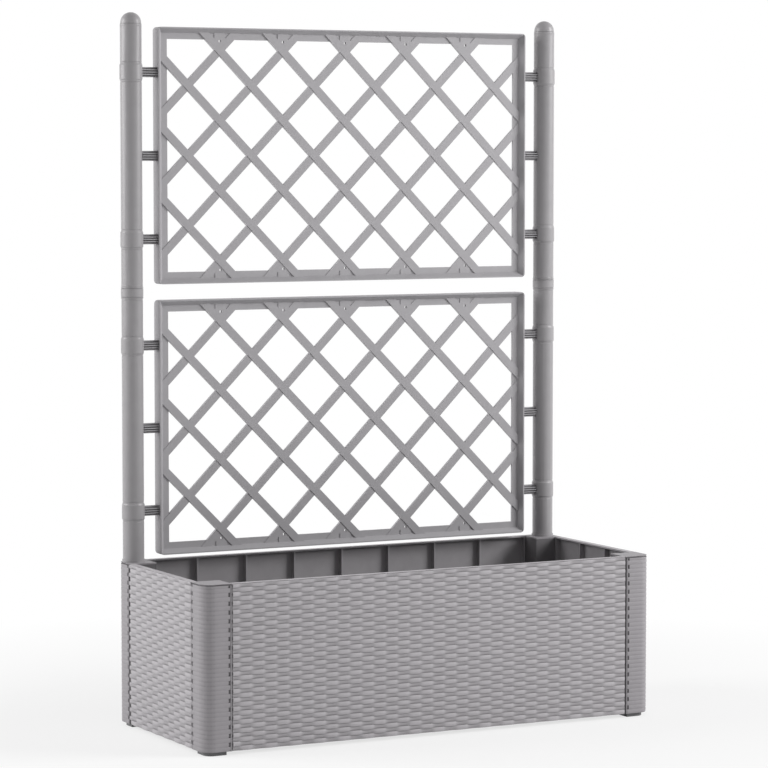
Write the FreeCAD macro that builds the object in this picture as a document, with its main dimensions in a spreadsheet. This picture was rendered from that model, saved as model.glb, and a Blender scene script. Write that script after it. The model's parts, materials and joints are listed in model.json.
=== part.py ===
"""Rattan-look planter box with a two-storey lattice trellis between two posts.

The box is built from four wall panels that slide into four corner columns. A water tray
lies on the panels' ledges, and a slotted soil grate with wick cups lies on the tray. Each
post is two tubes joined by a coupling. It stands in a socket in a rear column and ends in
a domed cap. Ribbed pins hold the two lattice panels between the posts.

Frame: millimetres, +Z up, X along the box, the rear at +Y, the origin on the floor under
the middle of the box.
"""
import FreeCAD, Part

import math
import os

import Sketcher

Vector = FreeCAD.Vector
Rotation = FreeCAD.Rotation
UP = Vector(0, 0, 1)

doc = FreeCAD.newDocument("trellis_planter")

# ---------------------------------------------------------------- driving sizes
SIZES = [
    # the box
    ("box_width", 1000, "outer width over the side walls"),
    ("box_depth", 420, "outer depth over the front and rear walls"),
    ("box_top", 330, "rim above the floor"),
    ("foot_height", 8, "lower edge of the walls above the floor"),
    ("skin", 3, "wall of the moulded box pieces"),
    ("fit_gap", 0.3, "play between pieces that plug together"),
    # wall panels
    ("panel_depth", 14, "wall panel over its ribs"),
    ("seam_gap", 0.6, "open seam between a wall panel and a column"),
    ("rib_width", 3, "rib between two bays of a wall panel"),
    ("front_bays", 8, "ribbed bays in the front and rear panels"),
    ("side_bays", 3, "ribbed bays in the side panels"),
    ("tongue_length", 9, "tongue of a wall panel into its column"),
    ("tongue_width", 4, "thickness of the tongue"),
    ("tongue_setback", 6, "tongue behind the outer face"),
    ("ledge_width", 10, "ledge that carries the tray"),
    # corner columns and feet
    ("corner_width", 60, "side of a square corner column"),
    ("corner_round", 25, "radius of its outer corner"),
    ("gusset_width", 10, "corner gusset inside a column"),
    ("plug_height", 22, "plug of a foot inside its column"),
    ("foot_inset", 9, "foot behind the outer faces"),
    ("foot_width", 42, "side of a foot pad"),
    ("foot_round", 17, "radius of a foot's outer corner"),
    ("socket_depth", 150, "post socket in a rear column"),
    # water tray, soil grate and wick cups
    ("lift_gap", 1.0, "play of the tray and the grate inside the walls"),
    ("tray_wall", 3, "wall and floor of the water tray"),
    ("tray_height", 53, "height of the water tray"),
    ("grate_thickness", 4, "plate of the soil grate"),
    ("slot_length", 150, "drain slot along the box"),
    ("slot_width", 6, "drain slot across the box"),
    ("slot_pitch", 200, "drain slots along the box, centre to centre"),
    ("slot_columns", 4, "drain slots in a row"),
    ("slot_row_gap", 44, "drain slot rows, centre to centre"),
    ("slot_first_row", 74, "first drain slot row from the middle"),
    ("cup_spacing", 220, "wick cups, centre to centre"),
    ("cup_width", 70, "side of a square wick cup"),
    ("cup_wall", 2.5, "wall of a wick cup"),
    ("cup_flange", 88, "side of its flange on the grate"),
    # posts
    ("pole_inset", 25.5, "post axis behind the two outer faces"),
    ("pole_diameter", 43, "outside of a post tube"),
    ("pole_bore", 38, "inside of a post tube"),
    ("shoulder_diameter", 46, "shoulder ring that rests on the rear column"),
    ("shoulder_height", 5, "height of the shoulder ring"),
    ("lower_pole_top", 858, "top of the lower tube above the floor"),
    ("upper_pole_top", 1402, "top of the upper tube above the floor"),
    ("coupling_diameter", 44.8, "band of the coupling between two tubes"),
    ("coupling_height", 22.5, "height of that band"),
    ("spigot_length", 50, "coupling spigot in each tube"),
    ("spigot_rib", 4, "crossed ribs of a spigot and of a cap's plug"),
    ("cap_dome", 23, "height of the cap over the tube"),
    ("cap_plug", 25, "plug of the cap inside the tube"),
    ("cap_edge", 1.5, "straight edge under the dome"),
    ("collar_diameter", 45.8, "swelling of the tube round a pin socket"),
    ("collar_height", 34, "height of that swelling"),
    ("collar_taper", 3.2, "taper at each end of it"),
    ("seat_distance", 20.0, "flat seat of a pin from the post axis"),
    # pins
    ("pin_diameter", 20, "round form that the fins of a pin follow"),
    ("pin_fin", 1.8, "one fin of a pin"),
    ("pin_web", 2.6, "upright web of a pin"),
    ("pin_fins", 5, "fins in a pin"),
    ("pin_stem", 6, "side of the square stem of a pin"),
    ("pin_rise", 166, "outer pins above and below the middle one"),
    ("stem_in_post", 4, "stem past the seat in a post"),
    ("stem_in_trellis", 6, "stem inside the lattice frame"),
    ("trellis_seat", 1.5, "recess for a pin in the lattice frame"),
    # lattice panels
    ("trellis_width", 842, "lattice panel, outer width"),
    ("trellis_height", 512, "lattice panel, outer height"),
    ("trellis_depth", 28, "lattice panel, front lip to rear lip"),
    ("trellis_round", 8, "outer corner radius"),
    ("lower_trellis_bottom", 341, "lower edge of the lower panel above the floor"),
    ("trellis_gap", 32, "free height between the two panels"),
    ("lip_width", 2.5, "flat front lip of the frame"),
    ("flank_width", 8.5, "sloping flank inside the lip"),
    ("rim_width", 12.5, "flat rim inside the flank"),
    ("rim_thickness", 4, "thickness of that rim"),
    ("lattice_pitch", 141, "crossings of the lattice, centre to centre"),
    ("slat_count", 8, "slats in each direction"),
    ("slat_width", 16, "width of a slat"),
    ("slat_over", 2.4, "how far the slat on top stands out from the rim"),
    ("slat_under", 1.2, "how far the slat below it stands out from the rim"),
    ("web_width", 24, "web between an outer crossing and the rim"),
    ("tie_hole", 4.5, "square hole above an outer crossing"),
    ("tie_setback", 26, "that hole from the panel's edge"),
]

sheet = doc.addObject("Spreadsheet::Sheet", "Sizes")
for row, (alias, value, meaning) in enumerate(SIZES, start=1):
    sheet.set(f"A{row}", meaning)
    sheet.set(f"B{row}", str(value))
    sheet.setAlias(f"B{row}", alias)
doc.recompute()


class Size:
    """A number together with the sheet formula that gives it."""

    def __init__(self, value, formula):
        self.value = float(value)
        self.formula = formula

    @staticmethod
    def of(thing):
        return thing if isinstance(thing, Size) else Size(thing, f"({thing})")

    def joined(self, sign, other, value):
        return Size(value, f"({self.formula} {sign} {other.formula})")

    def __add__(self, other):
        other = Size.of(other)
        return self.joined("+", other, self.value + other.value)

    def __sub__(self, other):
        other = Size.of(other)
        return self.joined("-", other, self.value - other.value)

    def __mul__(self, other):
        other = Size.of(other)
        return self.joined("*", other, self.value * other.value)

    def __truediv__(self, other):
        other = Size.of(other)
        return self.joined("/", other, self.value / other.value)

    def __neg__(self):
        return Size.of(0) - self


def size(alias):
    """One driving size of the sheet."""
    return Size(sheet.get(alias), f"Sizes.{alias}")


def root(thing):
    """Square root of a size."""
    return Size(math.sqrt(thing.value), f"sqrt({thing.formula})")


# ---------------------------------------------------------------- sketching
def origin_item(body, role):
    """A body's own origin plane or axis."""
    return next(item for item in body.Origin.OriginFeatures if item.Role == role)


def new_body(name):
    """An empty body that carries the sub-part's name."""
    body = doc.addObject("PartDesign::Body", name)
    body.Label = name
    return body


def new_sketch(body, name, role="XY_Plane", offset=None):
    """A sketch on one of the body's origin planes, moved along the plane's normal."""
    sketch = body.newObject("Sketcher::SketchObject", name)
    sketch.AttachmentSupport = [(origin_item(body, role), "")]
    sketch.MapMode = "FlatFace"
    if offset is not None:
        sketch.setExpression("AttachmentOffset.Base.z", offset.formula)
    return sketch


def hold(sketch, kind, edge, distance, end=1):
    """Ties one coordinate of a point of an edge to its size."""
    rule = Sketcher.Constraint(kind, -1, 1, edge, end, distance.value)
    index = sketch.addConstraint(rule)
    sketch.setExpression(f"Constraints[{index}]", distance.formula)


def outline(sketch, corners):
    """Closed polygon through corners, each held by its distances from the origin."""
    corners = [(Size.of(across), Size.of(along)) for across, along in corners]
    first = sketch.GeometryCount
    count = len(corners)
    points = [Vector(across.value, along.value, 0) for across, along in corners]
    for here in range(count):
        line = Part.LineSegment(points[here], points[(here + 1) % count])
        sketch.addGeometry(line, False)
    for here in range(count):
        following = first + (here + 1) % count
        rule = Sketcher.Constraint("Coincident", first + here, 2, following, 1)
        sketch.addConstraint(rule)
    for here, (across, along) in enumerate(corners):
        hold(sketch, "DistanceX", first + here, across)
        hold(sketch, "DistanceY", first + here, along)


def rectangle(sketch, left, right, low, high):
    """Upright rectangle between two pairs of sides."""
    outline(sketch, [(left, low), (right, low), (right, high), (left, high)])


def circle(sketch, across, along, diameter):
    """Circle held by its centre and its diameter."""
    across = Size.of(across)
    along = Size.of(along)
    centre = Vector(across.value, along.value, 0)
    edge = sketch.addGeometry(Part.Circle(centre, UP, diameter.value / 2), False)
    hold(sketch, "DistanceX", edge, across, 3)
    hold(sketch, "DistanceY", edge, along, 3)
    index = sketch.addConstraint(Sketcher.Constraint("Diameter", edge, diameter.value))
    sketch.setExpression(f"Constraints[{index}]", diameter.formula)


def square(sketch, across, along, side):
    """Upright square held by its middle and its side."""
    across = Size.of(across)
    along = Size.of(along)
    half = side / 2
    rectangle(sketch, across - half, across + half, along - half, along + half)


def crossed_ribs(sketch, reach, thickness):
    """Outline of two crossed ribs, as on the plugs inside the tubes."""
    half = thickness / 2
    outline(
        sketch,
        [
            (reach, -half),
            (reach, half),
            (half, half),
            (half, reach),
            (-half, reach),
            (-half, half),
            (-reach, half),
            (-reach, -half),
            (-half, -half),
            (-half, -reach),
            (half, -reach),
            (half, -half),
        ],
    )


# ---------------------------------------------------------------- features
def require(good, message):
    """Stops the build with a plain message."""
    if not good:
        raise RuntimeError(message)


def pad(body, sketch, length, reverse=False):
    """Extrudes a sketch along its normal."""
    feature = body.newObject("PartDesign::Pad", sketch.Name + "_pad")
    feature.Profile = sketch
    feature.Reversed = reverse
    feature.setExpression("Length", length.formula)
    doc.recompute()
    return feature


def pocket(body, sketch, length, forward=False):
    """Cuts a sketch against its normal, or along it, and checks that material went."""
    before = body.Shape.Volume
    feature = body.newObject("PartDesign::Pocket", sketch.Name + "_cut")
    feature.Profile = sketch
    feature.Reversed = forward
    feature.setExpression("Length", length.formula)
    doc.recompute()
    require(body.Shape.Volume < before - 0.5, f"{sketch.Name} cut nothing")
    return feature


def revolve(body, sketch):
    """Turns a profile once round the body's upright axis."""
    feature = body.newObject("PartDesign::Revolution", sketch.Name + "_turned")
    feature.Profile = sketch
    feature.ReferenceAxis = (origin_item(body, "Z_Axis"), [""])
    feature.Angle = 360
    doc.recompute()
    return feature


def row_pattern(body, feature, role, count, extent):
    """Repeats a feature in a straight row."""
    pattern = body.newObject("PartDesign::LinearPattern", feature.Name + "_row")
    pattern.Originals = [feature]
    pattern.Direction = (origin_item(body, role), [""])
    pattern.setExpression("Length", extent.formula)
    pattern.setExpression("Occurrences", count.formula)
    body.Tip = pattern
    doc.recompute()
    return pattern


def loft(body, kind, first, last):
    """Adds or cuts the straight-sided solid between two sketches."""
    feature = body.newObject(f"PartDesign::{kind}Loft", first.Name + "_loft")
    feature.Profile = first
    feature.Sections = [last]
    feature.Ruled = True
    doc.recompute()


def ring_pattern(body, feature, count):
    """Repeats a feature round the body's upright axis."""
    pattern = body.newObject("PartDesign::PolarPattern", feature.Name + "_ring")
    pattern.Originals = [feature]
    pattern.Axis = (origin_item(body, "Z_Axis"), [""])
    pattern.Angle = 360
    pattern.Occurrences = count
    body.Tip = pattern
    doc.recompute()
    return pattern


def fillet(body, base, radius, wanted):
    """Rounds the edges that a test picks by their middle and direction."""
    names = []
    for index, edge in enumerate(base.Shape.Edges, start=1):
        middle = edge.valueAt((edge.FirstParameter + edge.LastParameter) / 2)
        along = edge.tangentAt((edge.FirstParameter + edge.LastParameter) / 2)
        if wanted(middle, along):
            names.append(f"Edge{index}")
    require(names, f"{base.Name} has no such edge")
    feature = body.newObject("PartDesign::Fillet", base.Name + "_round")
    feature.Base = (base, names)
    feature.setExpression("Radius", radius.formula)
    doc.recompute()


def near(one, other):
    """True where two numbers are the same to a hundredth of a millimetre."""
    return abs(one - other) < 0.01


def upright(along):
    """True for an edge that runs along Z."""
    return near(abs(along.z), 1)


def place(item, across=0, along=0, height=0, turn=0):
    """Puts a finished sub-part in its place, turned about Z."""
    item.Placement = FreeCAD.Placement(Vector(0, 0, 0), Rotation(UP, turn))
    for axis, distance in (("x", across), ("y", along), ("z", height)):
        item.setExpression(f"Placement.Base.{axis}", Size.of(distance).formula)


# Flat sides round the dome of a cap, and straight steps up each of them.
DOME_SIDES = 12
DOME_STEPS = 3

subparts = []

# ---------------------------------------------------------------- shared places
half_width = size("box_width") / 2
half_depth = size("box_depth") / 2
wall_height = size("box_top") - size("foot_height")
tray_bottom = size("foot_height") + size("skin")
grate_bottom = tray_bottom + size("tray_height")
grate_top = grate_bottom + size("grate_thickness")
pole_across = half_width - size("pole_inset")
pole_along = half_depth - size("pole_inset")
upper_trellis_bottom = size("lower_trellis_bottom") + size("trellis_height") + size("trellis_gap")
lower_middle = size("lower_trellis_bottom") + size("trellis_height") / 2
upper_middle = upper_trellis_bottom + size("trellis_height") / 2
upper_pole_bottom = size("lower_pole_top") + size("coupling_height")


# ---------------------------------------------------------------- wall panels
def wall_panel(name, box_length, distance, bays, turn):
    """Ribbed wall with a tongue at each end and a ledge for the tray at its foot."""
    body = new_body(name)
    half = box_length / 2 - size("corner_width") - size("seam_gap")
    outer = -distance
    inner = outer + size("panel_depth")

    block = new_sketch(body, "wall", offset=size("foot_height"))
    rectangle(block, -half, half, outer, inner)
    pad(body, block, wall_height)

    bay_width = (half * 2 - size("rib_width") * (bays + 1)) / bays
    bay_left = -half + size("rib_width")
    bay = new_sketch(body, "bay", "XZ_Plane", -inner)
    bay_low = size("foot_height") + size("skin")
    bay_high = size("box_top") - size("skin")
    rectangle(bay, bay_left, bay_left + bay_width, bay_low, bay_high)
    cut = pocket(body, bay, size("panel_depth") - size("skin"), forward=True)
    row_pattern(body, cut, "X_Axis", bays, (bay_width + size("rib_width")) * (bays - 1))

    tongue_bottom = size("foot_height") + size("plug_height") + size("fit_gap")
    tongue = new_sketch(body, "tongue", offset=tongue_bottom)
    tongue_outer = outer + size("tongue_setback")
    tongue_inner = tongue_outer + size("tongue_width")
    reach = half + size("seam_gap") + size("tongue_length")
    rectangle(tongue, -reach, -half, tongue_outer, tongue_inner)
    rectangle(tongue, half, reach, tongue_outer, tongue_inner)
    pad(body, tongue, size("box_top") - size("skin") - size("fit_gap") - tongue_bottom)

    ledge = new_sketch(body, "ledge", offset=size("foot_height"))
    rectangle(ledge, -half, half, inner, inner + size("ledge_width"))
    pad(body, ledge, size("skin"))
    place(body, turn=turn)
    subparts.append(body)


PANELS = [
    ("front_panel", size("box_width"), half_depth, size("front_bays"), 0),
    ("right_panel", size("box_depth"), half_width, size("side_bays"), 90),
    ("rear_panel", size("box_width"), half_depth, size("front_bays"), 180),
    ("left_panel", size("box_depth"), half_width, size("side_bays"), 270),
]
for panel in PANELS:
    wall_panel(*panel)


# ---------------------------------------------------------------- corner columns
def hollow_outline():
    """Inside of a column above the foot's plug, with a gusset in each corner."""
    near_side = size("skin")
    far_side = size("corner_width") - size("skin")
    tangent = size("corner_round")
    gusset = size("gusset_width")
    return [
        (tangent, near_side),
        (far_side - gusset, near_side),
        (far_side, near_side + gusset),
        (far_side, far_side - gusset),
        (far_side - gusset, far_side),
        (near_side + gusset, far_side),
        (near_side, far_side - gusset),
        (near_side, tangent),
    ]


def foot_socket_outline(play):
    """Inside of a column's foot, with the outer corner cut off inside its rounding."""
    near_side = size("skin") + play
    far_side = size("corner_width") - size("skin") - play
    tangent = size("corner_round")
    return [
        (tangent, near_side),
        (far_side, near_side),
        (far_side, far_side),
        (near_side, far_side),
        (near_side, tangent),
    ]


def corner_column(name, across, along, turn, has_socket):
    """Hollow column with a closed top, a slot for each wall and, at the rear, a post socket."""
    body = new_body(name)
    width = size("corner_width")
    square = new_sketch(body, "column", offset=size("foot_height"))
    rectangle(square, 0, width, 0, width)
    block = pad(body, square, wall_height)
    fillet(
        body,
        block,
        size("corner_round"),
        lambda middle, line: upright(line) and near(middle.x, 0) and near(middle.y, 0),
    )

    foot_socket = new_sketch(body, "foot_socket", offset=size("foot_height"))
    outline(foot_socket, foot_socket_outline(0))
    pocket(body, foot_socket, size("plug_height"), forward=True)
    hollow_bottom = size("foot_height") + size("plug_height")
    hollow = new_sketch(body, "hollow", offset=hollow_bottom)
    outline(hollow, hollow_outline())
    pocket(body, hollow, size("box_top") - size("skin") - hollow_bottom, forward=True)

    if has_socket:
        boss_bottom = size("box_top") - size("socket_depth") - size("skin")
        bore = size("pole_diameter") + size("fit_gap") * 2
        boss = new_sketch(body, "boss", offset=boss_bottom)
        circle(boss, size("pole_inset"), size("pole_inset"), bore + size("skin") * 2)
        pad(body, boss, size("socket_depth") + size("skin") / 2)
        socket = new_sketch(body, "post_socket", offset=size("box_top"))
        circle(socket, size("pole_inset"), size("pole_inset"), bore)
        pocket(body, socket, size("socket_depth"))

    slot = new_sketch(body, "slot", offset=size("foot_height"))
    slot_outer = size("tongue_setback") - size("fit_gap")
    slot_inner = size("tongue_setback") + size("tongue_width") + size("fit_gap")
    slot_end = width - size("tongue_length") - size("fit_gap")
    rectangle(slot, slot_end, width, slot_outer, slot_inner)
    rectangle(slot, slot_outer, slot_inner, slot_end, width)
    pocket(body, slot, wall_height - size("skin"), forward=True)
    place(body, across, along, turn=turn)
    subparts.append(body)


CORNERS = [
    ("front_left", -half_width, -half_depth, 0, False),
    ("front_right", half_width, -half_depth, 90, False),
    ("rear_right", half_width, half_depth, 180, True),
    ("rear_left", -half_width, half_depth, 270, True),
]
for corner_name, across, along, turn, has_socket in CORNERS:
    corner_column("corner_" + corner_name, across, along, turn, has_socket)


# ---------------------------------------------------------------- feet
def foot(name, across, along, turn):
    """Rounded pad under a column, with a hollow plug that the column's gussets rest on."""
    body = new_body(name)
    start = size("foot_inset")
    end = start + size("foot_width")
    base = new_sketch(body, "pad")
    rectangle(base, start, end, start, end)
    block = pad(body, base, size("foot_height"))
    fillet(
        body,
        block,
        size("foot_round"),
        lambda middle, line: upright(line) and middle.x + middle.y < 2 * start.value + 1,
    )
    plug = new_sketch(body, "plug", offset=size("foot_height"))
    outline(plug, foot_socket_outline(size("fit_gap")))
    pad(body, plug, size("plug_height"))
    hollow = new_sketch(body, "plug_hollow", offset=size("foot_height") + size("skin"))
    wall = size("skin") * 2 + size("fit_gap")
    far_side = size("corner_width") - wall
    tangent = size("corner_round")
    outline(
        hollow,
        [(tangent, wall), (far_side, wall), (far_side, far_side), (wall, far_side), (wall, tangent)],
    )
    pocket(body, hollow, size("plug_height") - size("skin"), forward=True)
    place(body, across, along, turn=turn)
    subparts.append(body)


for corner_name, across, along, turn, has_socket in CORNERS:
    foot("foot_" + corner_name, across, along, turn)


# ---------------------------------------------------------------- tray, grate and cups
def floor_outline(inset):
    """Inside of the box, which steps round the four columns, pulled in by an inset."""
    across = half_width - size("panel_depth") - size("lift_gap") - inset
    along = half_depth - size("panel_depth") - size("lift_gap") - inset
    notch_across = half_width - size("corner_width") - size("lift_gap") - inset
    notch_along = half_depth - size("corner_width") - size("lift_gap") - inset
    return [
        (-notch_across, -along),
        (notch_across, -along),
        (notch_across, -notch_along),
        (across, -notch_along),
        (across, notch_along),
        (notch_across, notch_along),
        (notch_across, along),
        (-notch_across, along),
        (-notch_across, notch_along),
        (-across, notch_along),
        (-across, -notch_along),
        (-notch_across, -notch_along),
    ]


tray = new_body("water_tray")
tray_block = new_sketch(tray, "tray", offset=tray_bottom)
outline(tray_block, floor_outline(0))
pad(tray, tray_block, size("tray_height"))
tray_hollow = new_sketch(tray, "tray_hollow", offset=tray_bottom + size("tray_wall"))
outline(tray_hollow, floor_outline(size("tray_wall")))
pocket(tray, tray_hollow, size("tray_height") - size("tray_wall"), forward=True)
subparts.append(tray)

CUPS = [
    ("wick_cup_far_left", -1.5),
    ("wick_cup_left", -0.5),
    ("wick_cup_right", 0.5),
    ("wick_cup_far_right", 1.5),
]

grate = new_body("soil_grate")
grate_plate = new_sketch(grate, "grate", offset=grate_bottom)
outline(grate_plate, floor_outline(0))
pad(grate, grate_plate, size("grate_thickness"))
cup_holes = new_sketch(grate, "cup_holes", offset=grate_top)
for cup_name, step in CUPS:
    square(cup_holes, size("cup_spacing") * step, 0, size("cup_width") + size("fit_gap") * 2)
pocket(grate, cup_holes, size("grate_thickness"))
slots = new_sketch(grate, "slots", offset=grate_top)
first_slot = -size("slot_pitch") * (size("slot_columns") - 1) / 2
for side in (-1, 1):
    for line in (0, 1):
        along = (size("slot_first_row") + size("slot_row_gap") * line) * side
        left = first_slot - size("slot_length") / 2
        right = first_slot + size("slot_length") / 2
        rectangle(slots, left, right, along - size("slot_width") / 2, along + size("slot_width") / 2)
slot_cut = pocket(grate, slots, size("grate_thickness"))
slot_run = size("slot_pitch") * (size("slot_columns") - 1)
row_pattern(grate, slot_cut, "X_Axis", size("slot_columns"), slot_run)
subparts.append(grate)


def wick_cup(name, across):
    """Square cup that hangs by its flange and takes soil down into the water."""
    body = new_body(name)
    wall = size("cup_wall")
    bottom = tray_bottom + size("tray_wall") + size("fit_gap")
    block = new_sketch(body, "cup", offset=bottom)
    square(block, 0, 0, size("cup_width"))
    pad(body, block, grate_top - bottom)
    flange = new_sketch(body, "flange", offset=grate_top)
    square(flange, 0, 0, size("cup_flange"))
    pad(body, flange, wall)
    hollow = new_sketch(body, "cup_hollow", offset=bottom + wall)
    square(hollow, 0, 0, size("cup_width") - wall * 2)
    pocket(body, hollow, grate_top - bottom, forward=True)
    place(body, across)
    subparts.append(body)


for cup_name, step in CUPS:
    wick_cup(cup_name, size("cup_spacing") * step)

# ---------------------------------------------------------------- posts
pole_radius = size("pole_diameter") / 2
bore_radius = size("pole_bore") / 2


def collar(height):
    """Profile points of the swelling of a tube round the pin socket at a height."""
    wide = size("collar_diameter") / 2
    low = height - size("collar_height") / 2
    high = height + size("collar_height") / 2
    taper = size("collar_taper")
    return [(pole_radius, low), (wide, low + taper), (wide, high - taper), (pole_radius, high)]


def pole(name, across, turn, bottom, top, outside, pins):
    """Tube of a post with its collars and with a flat seat and a stem hole for each pin."""
    body = new_body(name)
    profile = new_sketch(body, "tube", "XZ_Plane")
    outline(
        profile,
        [(bore_radius, bottom), (pole_radius, bottom)]
        + outside
        + [(pole_radius, top), (bore_radius, top)],
    )
    revolve(body, profile)
    seat = size("seat_distance")
    half_seat = size("pin_diameter") / 2 + size("fit_gap")
    edge = size("collar_diameter") / 2
    for number, height in enumerate(pins):
        flat = new_sketch(body, f"seat_{number}", "YZ_Plane", seat)
        rectangle(flat, -edge, edge, height - half_seat, height + half_seat)
        pocket(body, flat, edge - seat + size("fit_gap"), forward=True)
        stem = new_sketch(body, f"stem_hole_{number}", "YZ_Plane")
        square(stem, 0, height, size("pin_stem") + size("fit_gap") * 2)
        pocket(body, stem, pole_radius + size("fit_gap"), forward=True)
    place(body, across, pole_along, turn=turn)
    subparts.append(body)


def pin_heights(middle):
    """Heights of the three pins beside a lattice panel, from the lowest up."""
    return [middle - size("pin_rise"), middle, middle + size("pin_rise")]


lower_pins = pin_heights(lower_middle)
upper_pins = pin_heights(upper_middle)

shoulder_radius = size("shoulder_diameter") / 2
shoulder_top = size("box_top") + size("shoulder_height")
shoulder = [
    (pole_radius, size("box_top")),
    (shoulder_radius, size("box_top")),
    (shoulder_radius, shoulder_top),
    (pole_radius, shoulder_top),
]
lower_outside = shoulder + collar(lower_pins[0]) + collar(lower_pins[2])
upper_outside = collar(upper_pins[0]) + collar(upper_pins[2])

# The left post turns its pin seats to +X, and the right post is the same piece turned round.
SIDES = [("left", -pole_across, 0), ("right", pole_across, 180)]
lower_pole_bottom = size("box_top") - size("socket_depth") + size("fit_gap")
for side_name, across, turn in SIDES:
    pole(
        "lower_pole_" + side_name,
        across,
        turn,
        lower_pole_bottom,
        size("lower_pole_top"),
        lower_outside,
        lower_pins,
    )
    pole(
        "upper_pole_" + side_name,
        across,
        turn,
        upper_pole_bottom,
        size("upper_pole_top"),
        upper_outside,
        upper_pins,
    )


spigot_radius = bore_radius - size("fit_gap")


def coupling(name, across):
    """Band between the two tubes with a spigot of crossed ribs in each."""
    body = new_body(name)
    band = new_sketch(body, "band", offset=size("lower_pole_top"))
    circle(band, 0, 0, size("coupling_diameter"))
    pad(body, band, size("coupling_height"))
    spigot = new_sketch(body, "spigot", offset=size("lower_pole_top") - size("spigot_length"))
    crossed_ribs(spigot, spigot_radius, size("spigot_rib"))
    pad(body, spigot, size("coupling_height") + size("spigot_length") * 2)
    place(body, across, pole_along)
    subparts.append(body)


def cap(name, across):
    """Domed cap with flat sides, whose plug of crossed ribs goes inside the tube."""
    body = new_body(name)
    low = size("upper_pole_top")
    edge_top = low + size("cap_edge")
    rise = size("cap_dome") - size("cap_edge")
    corner_turn = math.pi / DOME_SIDES
    block = new_sketch(body, "block", offset=low)
    turns = [corner_turn * (2 * number + 1) for number in range(DOME_SIDES)]
    outline(block, [(pole_radius * math.cos(turn), pole_radius * math.sin(turn)) for turn in turns])
    pad(body, block, size("cap_dome"))

    flat = pole_radius * math.cos(corner_turn)
    clear = pole_radius * 2
    side = new_sketch(body, "side", "XZ_Plane", -clear)
    slopes = [math.pi / 2 * step / DOME_STEPS for step in range(DOME_STEPS)]
    steps = [(flat * math.cos(slope), edge_top + rise * math.sin(slope)) for slope in slopes]
    clear_top = edge_top + clear
    outline(side, steps + [(0, edge_top + rise), (0, clear_top), (clear, clear_top), (clear, edge_top)])
    ring_pattern(body, pocket(body, side, clear * 2, forward=True), DOME_SIDES)

    plug = new_sketch(body, "plug", offset=low - size("cap_plug"))
    crossed_ribs(plug, spigot_radius, size("spigot_rib"))
    pad(body, plug, size("cap_plug"))
    place(body, across, pole_along)
    subparts.append(body)


for side_name, across, turn in SIDES:
    coupling("coupling_" + side_name, across)
    cap("cap_" + side_name, across)


# ---------------------------------------------------------------- pins
def pin(name, height, turn):
    """Pin of level fins on an upright web, with a square stem into the post and the frame."""
    body = new_body(name)
    start = size("seat_distance") + size("fit_gap") - pole_across
    end = size("trellis_seat") - size("trellis_width") / 2
    radius = size("pin_diameter") / 2
    half_fin = size("pin_fin") / 2
    half_web = size("pin_web") / 2
    web = new_sketch(body, "web", "YZ_Plane", start)
    rectangle(web, -half_web, half_web, height - radius, height + radius)
    pad(body, web, end - start)

    fins = new_sketch(body, "fins", "YZ_Plane", start)
    pitch = (radius - half_fin) * 2 / (size("pin_fins") - 1)
    for number in range(int(size("pin_fins").value)):
        rise = half_fin - radius + pitch * number
        reach = root(radius * radius - rise * rise)
        level = height + rise
        rectangle(fins, -reach, reach, level - half_fin, level + half_fin)
    pad(body, fins, end - start)

    stem = new_sketch(body, "stem", "YZ_Plane", start - size("stem_in_post"))
    square(stem, 0, height, size("pin_stem"))
    pad(body, stem, end - start + size("stem_in_post") + size("stem_in_trellis"))
    place(body, 0, pole_along, turn=turn)
    subparts.append(body)


for storey, heights in (("lower", lower_pins), ("upper", upper_pins)):
    for side_name, across, turn in SIDES:
        for level_name, height in zip(("low", "middle", "high"), heights):
            pin(f"pin_{storey}_{side_name}_{level_name}", height, turn)


# ---------------------------------------------------------------- lattice panels
def slat_end(bound, run, centre, shift, lean):
    """Where one edge of a slat stops, at the foot of the flank beside or above it."""
    across, rise = run
    level = rise * bound
    reach = level * lean + centre
    if abs(reach.value) <= across.value:
        return (reach + shift, level)
    side = across if reach.value > 0 else -across
    return (side, (side - centre - shift) * lean)


def slats(sketch, run, lean):
    """Parallel slats that rise to the right (lean 1) or to the left (lean -1)."""
    count = int(size("slat_count").value)
    half_cut = size("slat_width") * math.sqrt(0.5)
    for number in range(count):
        centre = size("lattice_pitch") * (number - (count - 1) / 2)
        outline(
            sketch,
            [
                slat_end(-1, run, centre, -half_cut, lean),
                slat_end(-1, run, centre, half_cut, lean),
                slat_end(1, run, centre, half_cut, lean),
                slat_end(1, run, centre, -half_cut, lean),
            ],
        )


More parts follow.
